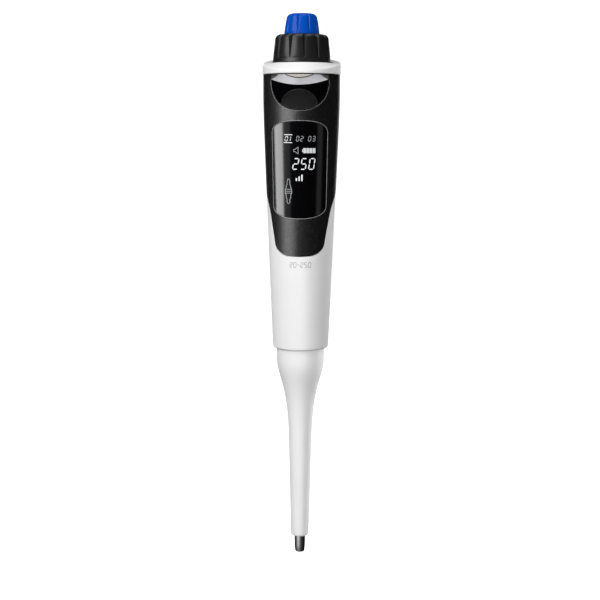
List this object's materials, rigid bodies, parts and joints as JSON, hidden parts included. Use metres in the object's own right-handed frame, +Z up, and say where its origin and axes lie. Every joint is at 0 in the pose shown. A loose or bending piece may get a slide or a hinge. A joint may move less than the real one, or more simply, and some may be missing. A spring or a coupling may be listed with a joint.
{
  "type": "electronic pipette",
  "caption": "Slim hand-held electronic pipette with a display window, a front trigger, a lobed setting wheel, a top ejector button and a rear finger hook.",
  "frame": {"origin": "middle of the flat on the underside of the finger hook, where the pipette rests when it is hung up", "axes": "+Z up along the pipette axis from the nozzle towards the ejector button, -Y towards the front with the window and trigger, +X to the right seen from the front"},
  "size_m": [0.037, 0.0614, 0.2618],
  "materials": {
    "housing_white": "fine satin moulded white",
    "sleeve_white": "fine satin moulded white",
    "satin_black": "satin black with a fine fleck",
    "wheel_black": "satin black",
    "gloss_black": "gloss black",
    "lens_black": "clear-coated black lens",
    "nozzle_black": "polished black",
    "button_blue": "glossy saturated blue",
    "crescent_silver": "satin silver grey",
    "plunger_white": "moulded white",
    "frame_grey": "glass-filled grey",
    "bright_steel": "bright turned steel",
    "motor_steel": "drawn steel can",
    "piston_chrome": "polished",
    "bearing_bronze": "sintered",
    "rotor_copper": "wound rotor",
    "contact_gold": "plated",
    "seal_rubber": "matt",
    "board_green": "solder mask",
    "battery_wrap": "shrink wrap"
  },
  "bodies": {
    "root": {"rear_housing": "housing_white", "front_fascia": "satin_black", "display_window": "lens_black", "top_cap": "housing_white", "finger_hook": "housing_white", "hook_screw": "bright_steel", "chassis": "frame_grey", "barrel_mount": "frame_grey", "nozzle": "nozzle_black", "nozzle_nut": "frame_grey", "piston_seal": "seal_rubber", "seal_retainer": "bright_steel", "motor_can": "motor_steel", "main_board": "board_green", "board_screw_left": "bright_steel", "board_screw_right": "bright_steel", "display_module": "frame_grey", "buzzer": "satin_black", "battery": "battery_wrap", "battery_contact_lower": "bright_steel", "battery_contact_upper": "bright_steel", "trigger_switch": "satin_black", "trigger_pin": "bright_steel", "encoder_board": "board_green", "wheel_bearing": "bearing_bronze", "rod_guide": "bearing_bronze", "charge_contact_left": "contact_gold", "charge_contact_right": "contact_gold", "ejector_spring": "bright_steel"},
    "wheel": {"setting_wheel": "wheel_black", "wheel_hub": "bright_steel", "encoder_disc": "bright_steel"},
    "ejector": {"ejector_button": "button_blue", "ejector_stem": "bright_steel", "ejector_arm": "bright_steel", "ejector_rod": "bright_steel", "rod_collar": "bright_steel", "ejector_yoke": "frame_grey", "ejector_sleeve": "sleeve_white"},
    "trigger": {"trigger_key": "gloss_black", "trigger_crescent": "crescent_silver"},
    "plunger": {"switch_plunger": "plunger_white"},
    "rotor": {"motor_rotor": "rotor_copper"},
    "piston": {"lead_screw": "bright_steel", "piston_coupling": "bright_steel", "piston": "piston_chrome"}
  },
  "joints": [
    {"name": "wheel_turn", "type": "hinge", "parent": "root", "child": "wheel", "pos_m": [0, -0.0265, 0.03], "axis": [0, 0, 1], "continuous": true},
    {"name": "ejector_press", "type": "slide", "parent": "root", "child": "ejector", "axis": [0, 0, -1], "range_m": [0, 0.006], "stiffness_N_per_m": 500, "springref_m": -0.012, "deforming": ["ejector_spring"]},
    {"name": "trigger_press", "type": "hinge", "parent": "root", "child": "trigger", "pos_m": [0, -0.0415, 0.014], "axis": [1, 0, 0], "range_deg": [0, 4], "stiffness_Nm_per_rad": 0.2, "springref_deg": -5.73},
    {"name": "switch_press", "type": "slide", "parent": "root", "child": "plunger", "axis": [0, 1, 0], "range_m": [0, 0.0007]},
    {"name": "rotor_spin", "type": "hinge", "parent": "root", "child": "rotor", "pos_m": [0, -0.0265, -0.0752], "axis": [0, 0, 1], "range_deg": [0, 2250]},
    {"name": "piston_slide", "type": "slide", "parent": "root", "child": "piston", "axis": [0, 0, 1], "range_m": [0, 0.0126]}
  ],
  "couplings": [
    {"joint": "switch_press", "follows": "trigger_press", "m_per_rad": 0.0095},
    {"joint": "piston_slide", "follows": "rotor_spin", "m_per_rad": 0.00031831}
  ]
}
